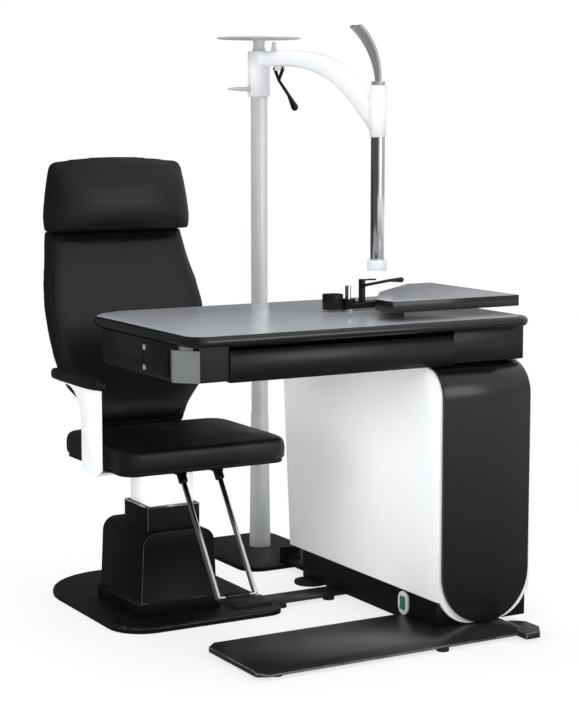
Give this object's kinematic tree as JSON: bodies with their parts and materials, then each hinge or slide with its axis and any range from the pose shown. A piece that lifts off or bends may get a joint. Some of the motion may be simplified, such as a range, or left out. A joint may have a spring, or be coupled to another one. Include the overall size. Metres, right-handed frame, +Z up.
{
  "type": "ophthalmic examination chair",
  "caption": "Eye examination unit: lift and recline patient chair, desk with drawer and cabinet across the lap, and a pole with swan neck arm, shelf and swing tray on floor plates.",
  "frame": {"origin": "axis of the chair's lift column, on the floor", "axes": "+Z up, -Y the way the patient faces, +X from the chair towards the cabinet"},
  "size_m": [1.075, 1.401, 1.5543],
  "materials": {
    "black_steel": "satin black powder coat",
    "grey_steel": "satin dark grey paint",
    "white_steel": "gloss white paint",
    "pole_metal": "satin",
    "bright_metal": "polished",
    "brushed_metal": "brushed",
    "upholstery": "black vinyl, low sheen",
    "black_plastic": "moulded black",
    "desk_surface": "grey laminate",
    "dark_panel": "dark grey satin",
    "grey_plastic": "light grey",
    "green_plastic": "translucent green",
    "tray_surface": "grey laminate",
    "rubber": "matt"
  },
  "bodies": {
    "unit": {"chair_base_plate": "black_steel", "link_beam": "grey_steel", "outrigger_plate": "grey_steel", "rear_base_plate": "black_steel", "levelling_feet": "rubber", "rear_bracket": "black_steel", "column_lower_shroud": "grey_steel", "lift_actuator": "grey_steel", "cabinet_plinth": "black_steel", "cabinet_frame": "grey_steel", "left_side_panel": "white_steel", "right_side_panel": "white_steel", "fascia_rim": "white_steel", "front_fascia": "dark_panel", "rear_panel": "white_steel", "switch_bezel": "grey_plastic", "desk_carcass": "dark_panel", "desk_top": "desk_surface", "desk_left_front": "dark_panel", "desk_right_front": "dark_panel", "corner_post": "brushed_metal", "control_panel": "black_plastic", "drawer_runners": "brushed_metal", "pole": "pole_metal", "pole_sleeve": "pole_metal", "shelf_spool": "bright_metal", "projector_shelf": "brushed_metal", "tray_post": "bright_metal"},
    "column_mid": {"column_mid_stage": "grey_steel"},
    "lift": {"lift_post": "white_steel", "lift_spindle": "bright_metal", "swivel_bearing": "bright_metal"},
    "seat": {"seat_pan": "black_steel", "seat_cushion": "upholstery", "armrest_bracket": "white_steel", "arm_pad": "upholstery", "footrest_brackets": "black_steel", "footrest_rods": "bright_metal", "recline_hinge": "black_steel"},
    "backrest": {"backrest_shell": "black_plastic", "backrest_cushion": "upholstery"},
    "headrest": {"headrest_posts": "bright_metal", "headrest_cushion": "upholstery"},
    "tread": {"footrest_tread": "black_plastic"},
    "rocker": {"power_rocker": "green_plastic"},
    "button_up": {"panel_button_up": "grey_plastic"},
    "button_down": {"panel_button_down": "grey_plastic"},
    "drawer": {"drawer_front": "dark_panel", "drawer_tub": "grey_steel"},
    "arm": {"swan_neck_arm": "white_steel", "arm_knob": "brushed_metal"},
    "clamp": {"clamp_lever": "brushed_metal"},
    "brake": {"brake_lever": "black_plastic"},
    "tube": {"hanging_tube": "bright_metal", "tube_head": "white_steel"},
    "lamp": {"lamp_blade": "brushed_metal"},
    "tray": {"tray_arm": "black_plastic", "tray_slab": "tray_surface", "cup_holder": "black_plastic"},
    "tray_release": {"tray_lever": "black_plastic"}
  },
  "joints": [
    {"name": "chair_lift", "type": "slide", "parent": "unit", "child": "lift", "axis": [0, 0, 1], "range_m": [0, 0.15]},
    {"name": "mid_stage_slide", "type": "slide", "parent": "unit", "child": "column_mid", "axis": [0, 0, 1], "range_m": [0, 0.075]},
    {"name": "seat_swivel", "type": "hinge", "parent": "lift", "child": "seat", "pos_m": [0, 0, 0.42], "axis": [0, 0, -1], "range_deg": [0, 15]},
    {"name": "backrest_recline", "type": "hinge", "parent": "seat", "child": "backrest", "pos_m": [0, 0.124, 0.468], "axis": [-1, 0, 0], "range_deg": [0, 30]},
    {"name": "headrest_slide", "type": "slide", "parent": "backrest", "child": "headrest", "axis": [0, 0.3256, 0.9455], "range_m": [0, 0.05]},
    {"name": "tread_fold", "type": "hinge", "parent": "seat", "child": "tread", "pos_m": [0, -0.452, 0.133], "axis": [-1, 0, 0], "range_deg": [0, 80]},
    {"name": "rocker_tilt", "type": "hinge", "parent": "unit", "child": "rocker", "pos_m": [0.4905, -0.455, 0.052], "axis": [0, 1, 0], "range_deg": [-5, 5]},
    {"name": "button_up_press", "type": "slide", "parent": "unit", "child": "button_up", "axis": [1, 0, 0], "range_m": [0, 0.002], "stiffness_N_per_m": 400, "springref_m": -0.001},
    {"name": "button_down_press", "type": "slide", "parent": "unit", "child": "button_down", "axis": [1, 0, 0], "range_m": [0, 0.002], "stiffness_N_per_m": 400, "springref_m": -0.001},
    {"name": "drawer_slide", "type": "slide", "parent": "unit", "child": "drawer", "axis": [0, -1, 0], "range_m": [0, 0.3]},
    {"name": "arm_swing", "type": "hinge", "parent": "unit", "child": "arm", "pos_m": [0.564, 0.459, 1.44], "axis": [0, 0, 1], "range_deg": [-50, 40]},
    {"name": "clamp_turn", "type": "hinge", "parent": "arm", "child": "clamp", "pos_m": [0.5305, 0.459, 1.3925], "axis": [-1, 0, 0], "range_deg": [0, 90]},
    {"name": "brake_squeeze", "type": "hinge", "parent": "arm", "child": "brake", "pos_m": [0.56923, 0.34812, 1.45083], "axis": [0.0471, -0.9989, 0], "range_deg": [-15, 15], "stiffness_Nm_per_rad": 0.6},
    {"name": "tube_slide", "type": "slide", "parent": "arm", "child": "tube", "axis": [0, 0, 1], "range_m": [0, 0.08]},
    {"name": "lamp_swivel", "type": "hinge", "parent": "arm", "child": "lamp", "pos_m": [0.59297, -0.15532, 1.396], "axis": [0, 0, 1], "range_deg": [-90, 90]},
    {"name": "tray_swing", "type": "hinge", "parent": "unit", "child": "tray", "pos_m": [0.44, -0.255, 0.82], "axis": [0, 0, -1], "range_deg": [0, 75]},
    {"name": "tray_lever_turn", "type": "hinge", "parent": "tray", "child": "tray_release", "pos_m": [0.483, -0.255, 0.87], "axis": [0, 0, 1], "range_deg": [0, 20]}
  ],
  "couplings": [
    {"joint": "mid_stage_slide", "follows": "chair_lift", "ratio": 0.5}
  ]
}
